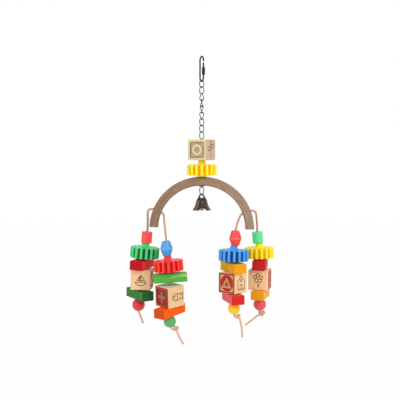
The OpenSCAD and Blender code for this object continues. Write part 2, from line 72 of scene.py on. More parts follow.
# --- Leather laces ---
# Two round-cut leather laces, soft and a little fluffy. Each is passed through an end of the
# arch, and both its legs are threaded down through a strand and knotted under the ball.
LACE_D = 3 * MM
LACE_SIDES = 14
LACE_STEP = 1.6 * MM
UNEVEN, SHOULDER, LACE_FIT = 0.035, 0.05, 0.98
UV_LENGTH = 10 * MM
STRANDS = ["left_outer", "left_inner", "right_inner", "right_outer"]
BEAD_H, BICONE_H = 16.4, 21.2
GEAR_HUB_H, GEAR_RIM_H, GEAR_BOSS_H = 5.8, 15.3, 2.0
GEAR_H = GEAR_HUB_H + GEAR_RIM_H + GEAR_BOSS_H
SLAT_L, SLAT_H = 47.5, 13.2
BLOCK_A = 29.2
BALL_R = [9.25, 8.75, 8.75, 9.25]
PLAY = 0.3
ARCH_Z = -243.65
# Where each strand hangs. Then, for its six pieces from the bead down to the ball: X, lean to the
# front and to the side, turn on the lace, and the room that is left under the piece.
STRAND_TOP = [-5.3, -14.7, -0.8, -6.2]
STRAND_Y = [13, -19, -13, 19]
STRAND_X = [
    [-79.8, -82.6, -86.9, -87, -90.5, -92.4],
    [-49.6, -47.4, -44.9, -45.2, -45.3, -45.4],
    [47.6, 45.3, 44.9, 44.3, 44.7, 46],
    [81.8, 84.2, 85.7, 85.5, 86.3, 85.5],
]
BICONE = [False, True, True, False]
LEAN_FRONT = [
    [0, 0, 0, -1.5, 1, 0], [0, -1.5, -6, 3, 4, 0],
    [0, -1, -2.2, -2.4, -1.2, 0], [0, -1, -3, -0.8, -2.2, 0],
]
LEAN_SIDE = [
    [4.3, 5, 3, 1.5, 0.8, 0], [-3.7, -4, -3.7, -1.6, -1.8, -12],
    [0, 1, -0.4, 0.6, -0.8, 0], [-5, -1, 1, 0.4, 1.4, 0],
]
TURNS = [
    [0, 11, 72, -4, 125, 0], [0, 4, 6, 42, 52, 0],
    [0, 0, 113, 50, 105, 0], [0, 6, 80, -15, 74, 0],
]
ROOM = [
    [0, 0.15, 0.6, 0.85, 0], [0.05, 0.5, 3.9, 0.3, 0],
    [0.1, 0.3, 0.3, 0.6, 0], [0.2, 0.4, 0.5, 0.4, 0],
]
# Tails are taken from the ball's centre, and the part that goes over the arch from its centre.
LACE_TAILS = [
    [(1, -0.6, -12.5), (2.6, -1.2, -16.4), (4.6, -2, -21.4), (6.8, -3, -26.8)],
    [(2.8, 0, -10.9), (5.2, 0, -11.9), (7.6, 0, -11.4), (9.4, 0, -12.8), (10.7, 0, -15.8),
     (12.3, -0.2, -19.8), (14.2, -0.4, -24), (16.6, -0.7, -28.4), (19.3, -1, -32.6)],
    [(0.7, 0, -10.6), (2.7, 0, -11.8), (5, 0, -11.6), (7, 0, -12.6), (8.3, 0, -15.6),
     (9.4, -0.1, -19.4), (10.4, -0.2, -24), (11.2, -0.3, -29), (11.7, -0.4, -35), (11.9, -0.4, -41.4)],
    [(0.9, 0, -11.2), (1.8, 0, -13), (0.6, 0, -14.8), (-2, 0, -16.4), (-5.6, 0, -19),
     (-10.4, -0.2, -22.7), (-15.8, -0.5, -26.8), (-21.2, -0.8, -30.8)],
]
OVER_ARCH = {
    "left_lace": [
        (-78.6, 12.3, 0.6), (-78.2, 10.4, 6.6), (-77.9, 7.8, 12.6), (-77.7, 5, 18), (-77.5, 2.6, 23.4),
        (-77, 0.9, 26), (-75.8, 0.2, 27.8), (-74, 0, 28.8), (-71.8, 0, 29.2), (-69.6, 0, 28.8),
        (-66, 0, 27.3), (-62, 0, 25.7), (-57.6, 0, 23.9), (-55.7, -0.1, 22.6), (-54.5, -0.6, 20.7),
        (-54, -1.8, 18), (-53.6, -4, 13.6), (-53, -6.8, 8.2), (-52.2, -9.8, 2.6), (-51.5, -12.8, -2.8),
        (-50.8, -15.6, -8), (-50.3, -17.8, -12.2)],
    "right_lace": [
        (48.6, -11.8, 2.4), (49.8, -9.4, 6.4), (51.3, -6.5, 10.4), (52.9, -3.6, 14.4),
        (54.4, -1.3, 17.8), (56.2, -0.2, 20.4), (58.4, 0, 21.8), (62, 0, 23.2), (66.4, 0, 24.8),
        (70.4, 0, 26.3), (72.6, 0, 26.7), (74.9, 0.1, 26.2), (76.7, 0.8, 24.9), (77.9, 2.4, 22.6),
        (78.6, 4.8, 19.2), (79.2, 7.8, 14.6), (79.9, 11, 9.6), (80.5, 14.2, 4.4), (81, 17, -0.8)],
}
# The two strands of each lace, and the point of the first tail at which it leaves the toy
LACES = {"left_lace": (0, 1, 0), "right_lace": (2, 3, 4)}


def heights(strand):
    """Heights of a strand's six pieces, in millimetres."""
    bead = BICONE_H if BICONE[strand] else BEAD_H
    return [bead, GEAR_H, SLAT_H, BLOCK_A, SLAT_H, 2 * BALL_R[strand]]


def piece_matrix(strand, place):
    """Where a strand's piece hangs: its centre, its lean and its turn, in metres."""
    tall = heights(strand)
    fall = sum(tall[k] + PLAY + ROOM[strand][k] for k in range(place))
    centre = Vector((STRAND_X[strand][place], STRAND_Y[strand],
                     ARCH_Z + STRAND_TOP[strand] - fall - tall[place] / 2)) * MM
    lean = (Matrix.Rotation(math.radians(LEAN_SIDE[strand][place]), 4, "Y")
            @ Matrix.Rotation(math.radians(LEAN_FRONT[strand][place]), 4, "X"))
    return Matrix.Translation(centre) @ lean @ Matrix.Rotation(
        math.radians(TURNS[strand][place]), 4, "Z")


def strand_line(strand):
    """The lace's points inside a strand, from the bead's top to the ball's foot."""
    tall = heights(strand)
    hang = [piece_matrix(strand, k) for k in range(6)]
    mouths = [[place @ Vector((0, 0, height * share * MM)) for share in (0.5, 0, -0.5)]
              for place, height in zip(hang, tall)]
    line = [mouths[0][0]]
    for k in range(5):
        line += [mouths[k][1], (mouths[k][2] + mouths[k + 1][0]) / 2]
    return line + mouths[5][1:]


def tail_line(strand):
    """Points of a strand's tail, from the ball's foot to the cut end."""
    ball = piece_matrix(strand, 5).translation
    return [ball + Vector(point) * MM for point in LACE_TAILS[strand]]


def smooth_line(points, step):
    """Even points on a smooth curve through the given ones."""
    gaps = [(b - a).length for a, b in zip(points, points[1:])]
    slopes = [(b - a) / g for a, b, g in zip(points, points[1:], gaps)]
    tangents = [slopes[0]] + [
        (slopes[i - 1] * gaps[i] + slopes[i] * gaps[i - 1]) / (gaps[i] + gaps[i - 1])
        for i in range(1, len(slopes))
    ] + [slopes[-1]]
    line = []
    for i, gap in enumerate(gaps):
        count = max(1, round(gap / step))
        for k in range(count):
            t = k / count
            line.append(points[i] * (2 * t**3 - 3 * t**2 + 1) + tangents[i] * gap * (t**3 - 2 * t**2 + t)
                        + points[i + 1] * (3 * t**2 - 2 * t**3) + tangents[i + 1] * gap * (t**3 - t**2))
    return line + [points[-1]]


def ended(shape, mesh):
    """Writes a bmesh to a mesh, its faces looking outwards."""
    bmesh.ops.recalc_face_normals(shape, faces=shape.faces)
    shape.to_mesh(mesh)
    shape.free()
    return mesh


def leather_tube(name, line, diameter, seed):
    """Closed tube of slightly uneven, square-shouldered section with a UV map along it."""
    chance = random.Random(seed)
    shape = bmesh.new()
    uv = shape.loops.layers.uv.new("along")
    rings, run, side = [], 0.0, Vector((0, 1, 0))
    for i, point in enumerate(line):
        ahead = (line[min(i + 1, len(line) - 1)] - line[max(i - 1, 0)]).normalized()
        side = (side - ahead * side.dot(ahead)).normalized()
        up = ahead.cross(side)
        run += (point - line[i - 1]).length if i else 0
        swell = 1 + chance.uniform(-UNEVEN, UNEVEN)
        ring = []
        for k in range(LACE_SIDES):
            a = math.tau * k / LACE_SIDES
            r = diameter / 2 * swell * (1 + SHOULDER * math.cos(4 * a)) * LACE_FIT
            ring.append(shape.verts.new(point + side * r * math.cos(a) + up * r * math.sin(a)))
        rings.append((ring, run))
    for (low, v0), (high, v1) in zip(rings, rings[1:]):
        for k in range(LACE_SIDES):
            n = (k + 1) % LACE_SIDES
            face = shape.faces.new((low[k], low[n], high[n], high[k]))
            face.smooth = True
            for loop, (u, v) in zip(face.loops, ((k, v0), (k + 1, v0), (k + 1, v1), (k, v1))):
                loop[uv].uv = (u / LACE_SIDES, v / UV_LENGTH)
    shape.faces.new(rings[0][0][::-1])
    shape.faces.new(rings[-1][0])
    return linked(name, ended(shape, bpy.data.meshes.new(name)))


def srgb(red, green, blue):
    """A colour read as 0 to 255, made linear for a shader."""
    values = [c / 255 for c in (red, green, blue)]
    return tuple(v / 12.92 if v <= 0.04045 else ((v + 0.055) / 1.055) ** 2.4 for v in values) + (1.0,)


def shade(colour, factor):
    """The same colour, that many times as light."""
    return (*[c * factor for c in colour[:3]], 1)


def finish(name, roughness, metallic=0.0, **sockets):
    """A new Principled material: the material, its tree and its shader."""
    material = bpy.data.materials.new(name)
    material.use_nodes = True
    shader = material.node_tree.nodes["Principled BSDF"]
    for socket, value in (sockets | {"Roughness": roughness, "Metallic": metallic}).items():
        shader.inputs[socket.replace("_", " ")].default_value = value
    return material, material.node_tree, shader


def add(tree, kind, inputs=(), **settings):
    """One node with its settings; an input is a value or the output that feeds it."""
    node = tree.nodes.new(kind)
    for key, value in settings.items():
        setattr(node, key, value)
    for key, value in dict(inputs).items():
        if isinstance(value, Output):
            tree.links.new(value.socket, node.inputs[key])
        else:
            node.inputs[key].default_value = value
    return node


def made(tree, kind, inputs=(), output=0, **settings):
    """An output of one new node."""
    return Output(add(tree, kind, inputs, **settings).outputs[output])


def reckon(operation, swapped=False):
    """A method that feeds its two numbers to a Math node."""
    def method(self, other=0.0):
        pair = {0: other, 1: self} if swapped else {0: self, 1: other}
        return made(self.tree, "ShaderNodeMath", pair, operation=operation)
    return method


class Output:
    """A node's output, which can be reckoned with like a number."""
    __add__, __radd__ = reckon("ADD"), reckon("ADD", True)
    __sub__, __rsub__ = reckon("SUBTRACT"), reckon("SUBTRACT", True)
    __mul__, __rmul__ = reckon("MULTIPLY"), reckon("MULTIPLY", True)
    __truediv__, __mod__ = reckon("DIVIDE"), reckon("MODULO")
    __gt__, __lt__ = reckon("GREATER_THAN"), reckon("LESS_THAN")
    __abs__, larger, angle = reckon("ABSOLUTE"), reckon("MAXIMUM"), reckon("ARCTAN2")
    floor, fraction, root = reckon("FLOOR"), reckon("FRACT"), reckon("SQRT")
    sine, cosine = reckon("SINE"), reckon("COSINE")

    def __init__(self, socket):
        self.socket, self.tree = socket, socket.id_data

    def clamped(self):
        """The same, kept within 0 to 1."""
        self.socket.node.use_clamp = True
        return self


def own_spot(tree):
    """Object coordinates."""
    return made(tree, "ShaderNodeTexCoord", output="Object")


def parts(vector):
    """The X, Y and Z of a vector."""
    return [Output(socket) for socket in add(vector.tree, "ShaderNodeSeparateXYZ", {0: vector}).outputs]


def joined(x, y, z=0.0):
    """The vector of an X, Y and Z."""
    return made(x.tree, "ShaderNodeCombineXYZ", {0: x, 1: y, 2: z})


def spread(value, low, high):
    """0 to 1 as a number runs from low to high."""
    return made(value.tree, "ShaderNodeMapRange", {"Value": value, "From Min": low, "From Max": high})


def ramp(value, stops):
    """Colour that runs through (place, colour) stops."""
    node = add(value.tree, "ShaderNodeValToRGB", {"Fac": value})
    elements = node.color_ramp.elements
    while len(elements) < len(stops):
        elements.new(0.5)
    for element, (place, colour) in zip(elements, stops):
        element.position, element.color = place, (*colour[:3], 1)
    return Output(node.outputs["Color"])


def blend(share, first, second):
    """Colour between two colours."""
    return made(share.tree, "ShaderNodeMix", {0: share, 6: first, 7: second}, 2, data_type="RGBA")


def speckle(where, scale, detail=3.0, roughness=0.55, stretch=None):
    """Noise, stretched if asked."""
    if stretch:
        where = made(where.tree, "ShaderNodeMapping", {"Vector": where, "Scale": stretch})
    return made(where.tree, "ShaderNodeTexNoise", {
        "Vector": where, "Scale": scale, "Detail": detail, "Roughness": roughness}, "Fac")


def feed(shader, socket, value):
    """Links an output to a shader's socket."""
    value.tree.links.new(value.socket, shader.inputs[socket])


def relief(shader, height, depth, strength):
    """A bump of that depth, in metres."""
    feed(shader, "Normal", made(height.tree, "ShaderNodeBump", {
        "Height": height, "Distance": depth, "Strength": strength}))


SHADED_UPPER_LEATHER = (0.25, srgb(150, 100, 74)), (0.5, srgb(200, 146, 116)), (0.75, srgb(226, 180, 150))
LIT_TAIL_LEATHER = (0.25, srgb(188, 138, 108)), (0.5, srgb(226, 178, 146)), (0.75, srgb(244, 208, 180))
TAILS_FROM, TAILS_TO = -0.27, -0.36
leather, tree, shader = finish("tan_leather", 0.75, Sheen_Weight=0.25, Sheen_Roughness=0.5)
along = made(tree, "ShaderNodeUVMap", uv_map="along")
spot = own_spot(tree)
fibres = speckle(along, 3.0, 4, stretch=(9, 1.2, 1))
patches = speckle(spot, 120, 2)
# Painted shade and light: the upper legs get the darker ramp, and the tails below TAILS_FROM a paler copy of
# the same leather
lower = spread(parts(spot)[2], TAILS_FROM, TAILS_TO)
tone = blend(lower, ramp(fibres, SHADED_UPPER_LEATHER), ramp(fibres, LIT_TAIL_LEATHER))
feed(shader, "Base Color", blend(patches * 0.4, tone, srgb(216, 166, 134)))
relief(shader, fibres, 0.18 * MM, 0.8)

# Overhand knots: place from the ball's centre, reach and lean. Three are pulled up under their
# balls, and the left outer one hides in its ball.
KNOTS = [((0, 0, -5.5), (1.3, 1.9, 1.3), 0), ((8.7, 0, -9.9), (3.1, 1.9, 2.9), 20),
         ((4.8, 0, -11.7), (4.3, 1.9, 2.0), -14), ((3.1, 0, -13.3), (4.4, 2.0, 3.6), 0)]
KNOT_LACE_D, KNOT_STEPS = 0.86 * LACE_D, 72


def overhand(centre, reach, lean):
    """Points of a three-lobed knot; its reach is across, deep and up."""
    tilt = Matrix.Rotation(math.radians(lean), 3, "Y")
    line = []
    for k in range(KNOT_STEPS + 1):
        t = math.tau * k / KNOT_STEPS
        turn = Vector(((math.sin(t) + 2 * math.sin(2 * t)) / 3 * reach[0], -math.sin(3 * t) * reach[1],
                       (math.cos(t) - 2 * math.cos(2 * t)) / 3 * reach[2]))
        line.append(centre + tilt @ turn * MM)
    return line


knots = {}
for strand, (spot, reach, lean) in enumerate(KNOTS):
    knot_name, lace_name = STRANDS[strand] + "_knot", list(LACES)[strand // 2]
    centre = piece_matrix(strand, 5).translation + Vector(spot) * MM
    knot = leather_tube(knot_name + "_tied", overhand(centre, reach, lean), KNOT_LACE_D, 3)
    knot.data.materials.append(leather)
    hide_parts(knot_name)
    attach(knot, "arch_body")
    knots.setdefault(lace_name, []).append(knot)

for lace_name, (first, second, leaves) in LACES.items():
    over = [Vector((x, y, ARCH_Z + z)) * MM for x, y, z in OVER_ARCH[lace_name]]
    route = (tail_line(first)[::-1] + strand_line(first)[::-1] + over + strand_line(second)
             + tail_line(second))
    line = smooth_line(route, LACE_STEP)
    lace = leather_tube(lace_name + "_thong", line, LACE_D, 7)
    lace.data.materials.append(leather)
    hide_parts(lace_name)
    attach(lace, "arch_body")

# --- Quick link ---
# Bent steel wire with a dark, oily finish. Its gate stands open above a short thread, on which
# the sleeve nut has been run down.
LINK_TURN = math.radians(-66)
LINK_HALF_W = 5.9 * MM
THREAD_R, THREAD_RIDGE, THREAD_TOP = 1.04 * MM, 0.13 * MM, -8.4 * MM
THREAD_PITCH, THREAD_TURNS, RIDGE_SIDES = 0.5 * MM, 12, 6
MERGE_WITHIN = 0.002 * MM


def dark_metal(name, base, light, roughness, scale):
    """Steel wire with dull patches and small bright rubs."""
    material, tree, shader = finish(name, roughness, 0.85)
    spot = own_spot(tree)
    dull = speckle(spot, scale * 0.35, 4)
    rubs = speckle(spot, scale, 5, 0.7)
    tone = ramp(rubs, [(0.35, base), (0.62, base), (0.8, light)])
    feed(shader, "Base Color", blend(dull * 0.45, tone, base))
    feed(shader, "Roughness", dull * 0.3 + (roughness - 0.15))
    relief(shader, rubs, 0.02 * MM, 0.5)
    return material


def coat(node_name, material):
    """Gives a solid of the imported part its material."""
    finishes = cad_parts[node_name].data.materials
    finishes.clear()
    finishes.append(material)


def geometry_tree(name, sizes, counts=()):
    """A Geometry Nodes tree, and its inputs by name."""
    tree = bpy.data.node_groups.new(name, "GeometryNodeTree")
    kinds = {"Geometry": "Geometry"} | {label: "Float" for label in sizes}
    kinds |= {label: "Int" for label in counts} | {"Material": "Material"}
    for label, kind in kinds.items():
        tree.interface.new_socket(label, in_out="INPUT", socket_type="NodeSocket" + kind)
    tree.interface.new_socket("Geometry", in_out="OUTPUT", socket_type="NodeSocketGeometry")
    given = tree.nodes.new("NodeGroupInput")
    return tree, {label: Output(given.outputs[label]) for label in kinds}


def round_bar(line, sides, radius):
    """Mesh of a round bar along a curve."""
    section = made(line.tree, "GeometryNodeCurvePrimitiveCircle", {"Resolution": sides, "Radius": radius})
    return made(line.tree, "GeometryNodeCurveToMesh", {
        "Curve": line, "Profile Curve": section, "Fill Caps": True})


def close_tree(given, geometry):
    """Ends a tree: realized, merged, smooth and with its material."""
    tree = geometry.tree
    real = made(tree, "GeometryNodeRealizeInstances", {"Geometry": geometry})
    merged = made(tree, "GeometryNodeMergeByDistance", {"Geometry": real, "Distance": MERGE_WITHIN})
    smooth = made(tree, "GeometryNodeSetShadeSmooth", {"Geometry": merged})
    painted = made(tree, "GeometryNodeSetMaterial", {"Geometry": smooth, "Material": given["Material"]})
    tree.links.new(painted.socket, tree.nodes.new("NodeGroupOutput").inputs[0])


def grow(name, tree, points, edges, matrix, material, **sizes):
    """Runs a tree on a line of points, and puts the plain mesh it makes in place."""
    seed = bpy.data.meshes.new(name)
    seed.from_pydata(points, edges, [])
    piece = linked(name, seed)
    modifier = piece.modifiers.new("grow", "NODES")
    modifier.node_group = tree
    given = {label.replace("_", " "): value for label, value in sizes.items()} | {"Material": material}
    for item in tree.interface.items_tree:
        if item.in_out == "INPUT" and item.name in given:
            modifier[item.identifier] = given[item.name]
    ready = piece.evaluated_get(bpy.context.evaluated_depsgraph_get())
    mesh = bpy.data.meshes.new_from_object(ready)
    piece.modifiers.clear()
    shape = bmesh.new()
    shape.from_mesh(mesh)
    ended(shape, mesh).transform(matrix)
    piece.data = mesh
    return piece


thread_tree, given = geometry_tree("rolled_thread", ["Radius", "Pitch", "Ridge"], ["Turns"])
coil = made(thread_tree, "GeometryNodeCurveSpiral", {
    "Resolution": 20, "Rotations": given["Turns"], "Start Radius": given["Radius"],
    "End Radius": given["Radius"], "Height": given["Pitch"] * given["Turns"]})
close_tree(given, round_bar(coil, RIDGE_SIDES, given["Ridge"]))

gunmetal = dark_metal("gunmetal_wire", srgb(38, 35, 32), srgb(112, 106, 98), 0.34, 700)
coat("quick_link", gunmetal)
coat("quick_link_nut", gunmetal)
link_place = (Matrix.Rotation(LINK_TURN, 4, "Z")
              @ Matrix.Translation((LINK_HALF_W, 0, THREAD_TOP - THREAD_PITCH * THREAD_TURNS)))
thread = grow("quick_link_thread", thread_tree, [(0, 0, 0)], [], link_place, gunmetal,
              Radius=THREAD_R, Pitch=THREAD_PITCH, Ridge=THREAD_RIDGE, Turns=THREAD_TURNS)
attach(thread, "hanger")

# --- Chain ---
# Curb chain of nickel-plated wire. Every link is an oval loop whose ends are twisted a quarter
# turn apart, so that the chain lies flat. It winds slowly round as it hangs.
CHAIN_WIRE, WIRE_SIDES = 1.3 * MM, 14
CHAIN_HALF_L, CHAIN_HALF_W = 5.3 * MM, 3.0 * MM
CHAIN_FIRST_Z, CHAIN_PITCH = -37.1 * MM, 9.05 * MM
CHAIN_TWIST = math.radians(45)
CHAIN_TURNS = [0, 12, 42, 78, 110, 140, 160, 172]

wire_tree, given = geometry_tree("round_wire", ["Wire"], ["Sides"])
centre_line = made(wire_tree, "GeometryNodeMeshToCurve", {"Mesh": given["Geometry"]})
close_tree(given, round_bar(centre_line, given["Sides"], given["Wire"] * 0.5))


def twisted_oval(half_length, half_width, twist, count=72):
    """Points of an oval loop standing on Z, twisted about it, and the edges that close it."""
    straight = 2 * (half_length - half_width)
    round_part = math.pi * half_width
    points = []
    for k in range(count):
        s = (k / count) * 2 * (straight + round_part)
        flip = 1 if s < straight + round_part else -1
        s -= 0 if flip == 1 else straight + round_part
        if s < round_part:
            a = s / half_width
            across, up = half_width * math.cos(a), half_length - half_width + half_width * math.sin(a)
        else:
            across, up = -half_width, half_length - half_width - (s - round_part)
        across, up = across * flip, up * flip
        a = twist * up / half_length
        points.append((across * math.cos(a), across * math.sin(a), up))
    return points, [(k, (k + 1) % count) for k in range(count)]


def on_axis(height, turn=0.0):
    """A place on the toy's axis, by its height and its turn."""
    return Matrix.Translation((0, 0, height)) @ Matrix.Rotation(turn, 4, "Z")


nickel = dark_metal("nickel_wire", srgb(92, 88, 84), srgb(190, 186, 178), 0.36, 900)
for i, turn in enumerate(CHAIN_TURNS):
    place = on_axis(CHAIN_FIRST_Z - i * CHAIN_PITCH, math.radians(turn))
    link = grow(f"curb_link_{i + 1}", wire_tree, *twisted_oval(CHAIN_HALF_L, CHAIN_HALF_W, CHAIN_TWIST),
                place, nickel, Wire=CHAIN_WIRE, Sides=WIRE_SIDES)
    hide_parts(f"chain_link_{i + 1}")
    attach(link, f"link_{i + 1}")

# --- Eye rod and washer ---
# Straight nickel-plated rod with a twisted eye at each end. The block, the wheel and the arch
# turn on it, and a washer over the lower eye carries them.
ROD_D, ROD_SIDES = 2.4 * MM, 20
TOP_EYE_Z, LOW_EYE_Z, LOW_EYE_HALF_L = -109.5 * MM, -189.3 * MM, 5.9 * MM
EYES = {"rod_top_eye": (TOP_EYE_Z, math.radians(184), CHAIN_HALF_L),
        "rod_low_eye": (LOW_EYE_Z, math.radians(-18), LOW_EYE_HALF_L)}
rod_top, rod_foot = TOP_EYE_Z - CHAIN_HALF_L, LOW_EYE_Z + LOW_EYE_HALF_L
shaft_line = [(0, 0, rod_foot), (0, 0, (rod_top + rod_foot) / 2), (0, 0, rod_top)]
shaft = grow("rod_shaft", wire_tree, shaft_line, [(0, 1), (1, 2)], Matrix.Identity(4), nickel,
             Wire=ROD_D, Sides=ROD_SIDES)
for eye_name, (height, turn, half) in EYES.items():
    eye = grow(eye_name, wire_tree, *twisted_oval(half, CHAIN_HALF_W, CHAIN_TWIST),
               on_axis(height, turn), nickel, Wire=CHAIN_WIRE, Sides=WIRE_SIDES)
    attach(eye, "rod")
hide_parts("centre_rod")
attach(shaft, "rod")
coat("rod_washer", nickel)

# --- Wooden blocks ---
# Cubes of pale close-grained hardwood with eased edges. Two faces are milled to a raised frame
# and a figure, whose tops are rolled with paint. The other faces are sanded, and two of them
# carry a brown stamped line drawing.
TOP_BLOCK_Z, TOP_BLOCK_TURN = -130.35, 62.7
RECESS = 0.8 * MM
FRAME_INNER, PANEL_R, PAINTED_SHADE_FROM = 11.7 * MM, 11.6 * MM, 9.9 * MM
PALE_WOOD = (srgb(246, 212, 160), srgb(237, 198, 144), srgb(218, 174, 120))
WARM_WOOD = (srgb(254, 218, 168), srgb(248, 206, 150), srgb(230, 182, 126))
END_GRAIN_AND_PAINTED_LIGHT = srgb(240, 234, 214)
PINKISH_WOOD = (srgb(222, 192, 164), srgb(208, 178, 150), srgb(184, 150, 122))


def local_place(tree, matrix):
    """Object coordinates turned into the piece's own."""
    return made(tree, "ShaderNodeMapping", {
        "Vector": own_spot(tree), "Location": matrix.translation, "Rotation": matrix.to_euler("XYZ")},
        vector_type="TEXTURE")


def other_grain(where, seed):
    """The same place in another stretch of the grain."""
    shift = (seed, seed * 2, seed * 3)
    return made(where.tree, "ShaderNodeVectorMath", {0: where, 1: shift}, operation="ADD")


def block_wood(name, matrix, paint, figure, panel, corners, woods, seed, painted_edge_shade):
    """Sanded hardwood with straight grain up the block; its top and bottom faces are paler end grain with
    painted light. The framed faces are painted: frame, figure, round panel on the floor, and its corners.
    Painted shade darkens the recess walls, and the floor's edge can be darkened with painted shade."""
    pale, mid, deep = woods
    material, tree, shader = finish(name, 0.5, Specular_IOR_Level=0.25, Coat_Weight=0.05, Coat_Roughness=0.4)
    where = local_place(tree, matrix)
    drift = other_grain(where, seed)
    streaks = speckle(drift, 1, 5, 0.65, stretch=(900, 900, 55))
    bands = speckle(drift, 1, 3, 0.5, stretch=(220, 220, 14))
    wood = blend(bands * 0.55, ramp(streaks, [(0.3, deep), (0.46, mid), (0.7, pale)]), mid)
    out, across, up = (abs(part) for part in parts(where))
    edge = BLOCK_A * MM / 2
    # End grain and painted light: the top and bottom faces are painted near white, paler than the wood, to
    # stand in for light on them
    wood = blend((up > edge - 0.2 * MM) * 0.7, wood, END_GRAIN_AND_PAINTED_LIGHT)
    off_centre = across.larger(up)
    inner = off_centre < FRAME_INNER
    thin = spread(speckle(drift, 500, 4, 0.7), 0.60, 0.72)
    top = blend(inner, paint, figure)
    top = blend(streaks * 0.3, top, shade(paint, 0.7))
    top = blend(thin * 0.4, top, mid)
    recess_and_painted_shade = blend((across * across + up * up).root() < PANEL_R, corners, panel)
    recess_and_painted_shade = blend(streaks * 0.3, recess_and_painted_shade, shade(panel, 0.6))
    # Painted shade: the recess walls, between its floor and the raised tops, are painted dark
    recess_and_painted_shade = blend((out > edge - RECESS + 0.12 * MM) * inner, recess_and_painted_shade, shade(panel, 0.3))
    # Painted shade: a dark strip round the edge of the recess floor, used on the top block
    recess_and_painted_shade = blend((off_centre > PAINTED_SHADE_FROM) * painted_edge_shade, recess_and_painted_shade, srgb(70, 56, 44))
    tone = blend((out > edge - RECESS - 0.1 * MM) * inner, wood, recess_and_painted_shade)
    feed(shader, "Base Color", blend(out > edge - 0.12 * MM, tone, top))
    relief(shader, streaks, 0.05 * MM, 0.5)
    return material


ribbon_tree, given = geometry_tree("stamped_line", ["Width", "Proud"])
stroke_line = made(ribbon_tree, "GeometryNodeMeshToCurve", {"Mesh": given["Geometry"]})
stroke_line = made(ribbon_tree, "GeometryNodeResampleCurve", {"Curve": stroke_line, "Length": 0.4 * MM},
                   mode="LENGTH")
inked = round_bar(stroke_line, 8, given["Width"] * 0.5)
x, y, z = parts(made(ribbon_tree, "GeometryNodeInputPosition"))
close_tree(given, made(ribbon_tree, "GeometryNodeSetPosition", {
    "Geometry": inked, "Position": joined(x, y, z * given["Proud"])}))


def arc(centre, radius, start, end, squash=1.0):
    """Points of an arc, angles in degrees."""
    steps = max(6, int(abs(end - start) / 12))
    angles = [math.radians(start + (end - start) * k / steps) for k in range(steps + 1)]
    return [(centre[0] + radius * math.cos(a), centre[1] + radius * squash * math.sin(a)) for a in angles]


# Plain picture-book signs of our own
SIGNS = {
    "sprig": [[(0, -9), (0, 2)], arc((-3.4, 1), 3.4, 0, 180, 0.7), arc((-3.4, 1), 3.4, 0, -180, 0.55),
              arc((3.4, 4), 3.4, 0, 360, 0.6), arc((0, 7), 2.2, -90, 270, 1.2)],
    "boat": [arc((0, -2), 8, 190, 350, 0.75), [(-7.9, -3), (7.9, -3)],
             [(0, -3), (0, 8), (6, -0.6), (0, -0.6)], [(-1.2, 5.6), (-1.2, -0.6), (-5, -0.6), (-1.2, 5.6)]],
    "fish": [arc((0.5, 0), 7, 25, 335, 0.62), [(6.8, 1.8), (10, 4.4), (10, -4.4), (6.8, -1.8)],
             arc((-3.4, 1), 0.8, 0, 360), arc((-1, 0), 3.2, -60, 60)],
    "house": [[(-6.5, -7), (-6.5, 2), (0, 8), (6.5, 2), (6.5, -7), (-6.5, -7)],
              [(-1.8, -7), (-1.8, -1.6), (1.8, -1.6), (1.8, -7)],
              arc((0, 3), 1.4, 0, 360)],
    "flower": [arc((0, 2.6), 1.8, 0, 360)] + [
        arc((3.9 * math.cos(math.radians(a)), 2.6 + 3.9 * math.sin(math.radians(a))), 2.1, a - 140, a + 140)
        for a in range(18, 378, 72)] + [[(0, -3), (0, -9.4)], arc((2.6, -7.4), 2.6, 90, 200, 0.7)],
}
INK_W, INK_PROUD = 1.1 * MM, 0.06
ink, tree, shader = finish("brown_stamp_ink", 0.7)
patchy = speckle(own_spot(tree), 1500)
feed(shader, "Base Color", ramp(patchy, [(0.3, srgb(70, 30, 24)), (0.7, srgb(100, 50, 38))]))


def stamp(name, sign, matrix, face_turn, body, size=1.0):
    """Ink lines of a sign, laid on one side face of a block."""
    points, edges = [], []
    for stroke in SIGNS[sign]:
        start = len(points)
        points += [(x * size * MM, y * size * MM, 0) for x, y in stroke]
        edges += [(start + k, start + k + 1) for k in range(len(stroke) - 1)]
    onto = (matrix @ Matrix.Rotation(math.radians(face_turn), 4, "Z")
            @ Matrix.Translation((0, -BLOCK_A / 2 * MM, 0)) @ Matrix.Rotation(math.pi / 2, 4, "X"))
    print_piece = grow(name, ribbon_tree, points, edges, onto, ink, Width=INK_W, Proud=INK_PROUD)
    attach(print_piece, body)


top_place = on_axis(TOP_BLOCK_Z * MM, math.radians(TOP_BLOCK_TURN))
FRAME_YELLOW, FRAME_RED, FRAME_PINK = srgb(228, 204, 132), srgb(188, 38, 38), srgb(206, 62, 66)
GREY_FLOOR, PALE_FLOOR, DARK_FLOOR = srgb(172, 160, 160), srgb(230, 202, 156), srgb(92, 56, 42)
# The frame's, figure's, panel's and corners' colours, the wood, the print and its size
BLOCKS = {
    "top_block": (top_place, FRAME_YELLOW, FRAME_YELLOW, GREY_FLOOR, GREY_FLOOR,
                  PINKISH_WOOD, "sprig", 1.35),
    "left_outer_block": (piece_matrix(0, 3), FRAME_RED, PALE_FLOOR, FRAME_RED, PALE_FLOOR,
                         PALE_WOOD, "boat", 1),
    "left_inner_block": (piece_matrix(1, 3), FRAME_RED, srgb(150, 112, 72), srgb(164, 30, 26), DARK_FLOOR,
                         PALE_WOOD, "fish", 1.1),
    "right_inner_block": (piece_matrix(2, 3), FRAME_RED, srgb(204, 156, 108), FRAME_RED, PALE_FLOOR,
                          WARM_WOOD, "house", 1.25),
    "right_outer_block": (piece_matrix(3, 3), FRAME_PINK, srgb(224, 150, 116), FRAME_PINK,
                          srgb(226, 156, 120), WARM_WOOD, "flower", 1.15),
}
